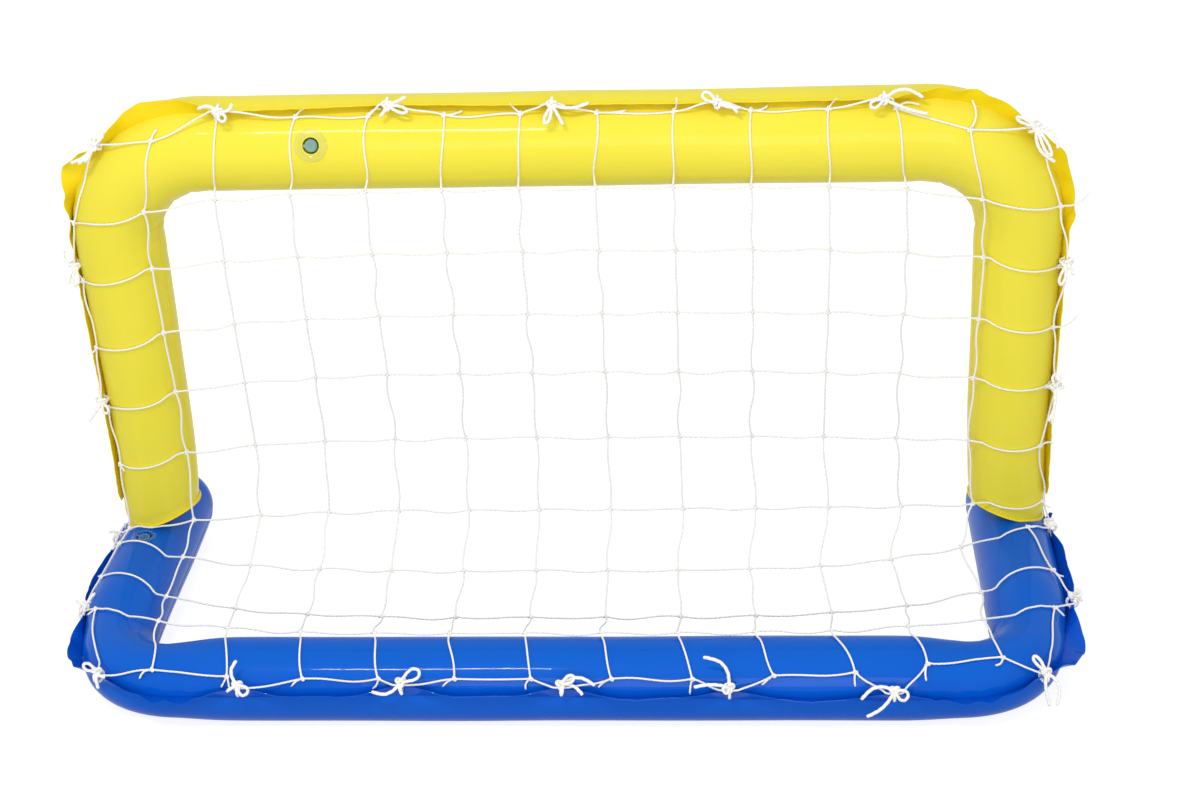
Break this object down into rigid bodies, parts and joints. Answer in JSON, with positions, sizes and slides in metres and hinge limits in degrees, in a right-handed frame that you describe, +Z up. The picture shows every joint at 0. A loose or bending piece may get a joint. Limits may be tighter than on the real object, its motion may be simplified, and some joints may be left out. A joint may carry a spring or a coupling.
{
  "type": "inflatable water polo goal",
  "caption": "Inflatable pool goal: a leaning upper air tube on a U-shaped base tube, with a knotted cord net tied to the welded flanges and a valve in each tube.",
  "frame": {"origin": "on the ground under the middle of the base's front bar, at the foot of the net", "axes": "+X to the right across the goal, seen from the net's side, +Y from the front bar under the net to the goal's mouth, +Z up"},
  "size_m": [1.4662, 0.6659, 0.8131],
  "materials": {
    "yellow_film": "glossy soft vinyl film, inflated",
    "yellow_weld": "glossy doubled vinyl film, more saturated",
    "blue_film": "glossy soft vinyl film, inflated",
    "blue_weld": "glossy doubled vinyl film, darker",
    "clear_film": "clear soft vinyl",
    "valve_vinyl": "soft satin vinyl",
    "net_cord": "matt twisted cord",
    "tie_cord": "matt braided cord"
  },
  "bodies": {
    "goal": {"base_air_chamber": "blue_film", "upper_air_chamber": "yellow_film", "left_foot_weld": "yellow_weld", "right_foot_weld": "yellow_weld", "upper_inner_seam": "yellow_weld", "base_inner_seam": "blue_weld", "upper_outer_flange": "yellow_weld", "base_outer_flange": "blue_weld", "upper_valve_patch": "clear_film", "base_valve_patch": "clear_film", "goal_net": "net_cord", "upper_net_tie_1": "tie_cord", "upper_net_tie_2": "tie_cord", "upper_net_tie_3": "tie_cord", "upper_net_tie_4": "tie_cord", "upper_net_tie_5": "tie_cord", "upper_net_tie_6": "tie_cord", "upper_net_tie_7": "tie_cord", "upper_net_tie_8": "tie_cord", "upper_net_tie_9": "tie_cord", "upper_net_tie_10": "tie_cord", "upper_net_tie_11": "tie_cord", "base_net_tie_1": "tie_cord", "base_net_tie_2": "tie_cord", "base_net_tie_3": "tie_cord", "base_net_tie_4": "tie_cord", "base_net_tie_5": "tie_cord", "base_net_tie_6": "tie_cord", "base_net_tie_7": "tie_cord", "base_net_tie_8": "tie_cord", "base_net_tie_9": "tie_cord", "base_net_tie_10": "tie_cord", "base_net_tie_11": "tie_cord"},
    "upper_valve": {"upper_valve_stem": "valve_vinyl"},
    "upper_plug": {"upper_valve_plug": "clear_film"},
    "upper_flap": {"upper_valve_flap": "valve_vinyl"},
    "base_valve": {"base_valve_stem": "clear_film"},
    "base_plug": {"base_valve_plug": "clear_film"},
    "base_flap": {"base_valve_flap": "valve_vinyl"}
  },
  "joints": [
    {"name": "upper_valve_pull", "type": "slide", "parent": "goal", "child": "upper_valve", "axis": [0, -0.9693, 0.2457], "range_m": [0, 0.012]},
    {"name": "upper_plug_open", "type": "hinge", "parent": "upper_valve", "child": "upper_plug", "pos_m": [-0.3296, 0.22122, 0.72941], "axis": [0, -0.2457, -0.9693], "range_deg": [0, 100]},
    {"name": "upper_flap_open", "type": "hinge", "parent": "upper_valve", "child": "upper_flap", "pos_m": [-0.3255, 0.24158, 0.72425], "axis": [0, 0.2457, 0.9693], "range_deg": [0, 15], "stiffness_Nm_per_rad": 0.0005},
    {"name": "base_valve_pull", "type": "slide", "parent": "goal", "child": "base_valve", "axis": [0, 0, 1], "range_m": [0, 0.012]},
    {"name": "base_plug_open", "type": "hinge", "parent": "base_valve", "child": "base_plug", "pos_m": [-0.6386, 0.308, 0.1102], "axis": [0, -1, 0], "range_deg": [0, 100]},
    {"name": "base_flap_open", "type": "hinge", "parent": "base_valve", "child": "base_flap", "pos_m": [-0.6345, 0.308, 0.0892], "axis": [0, 1, 0], "range_deg": [0, 15], "stiffness_Nm_per_rad": 0.0005}
  ]
}
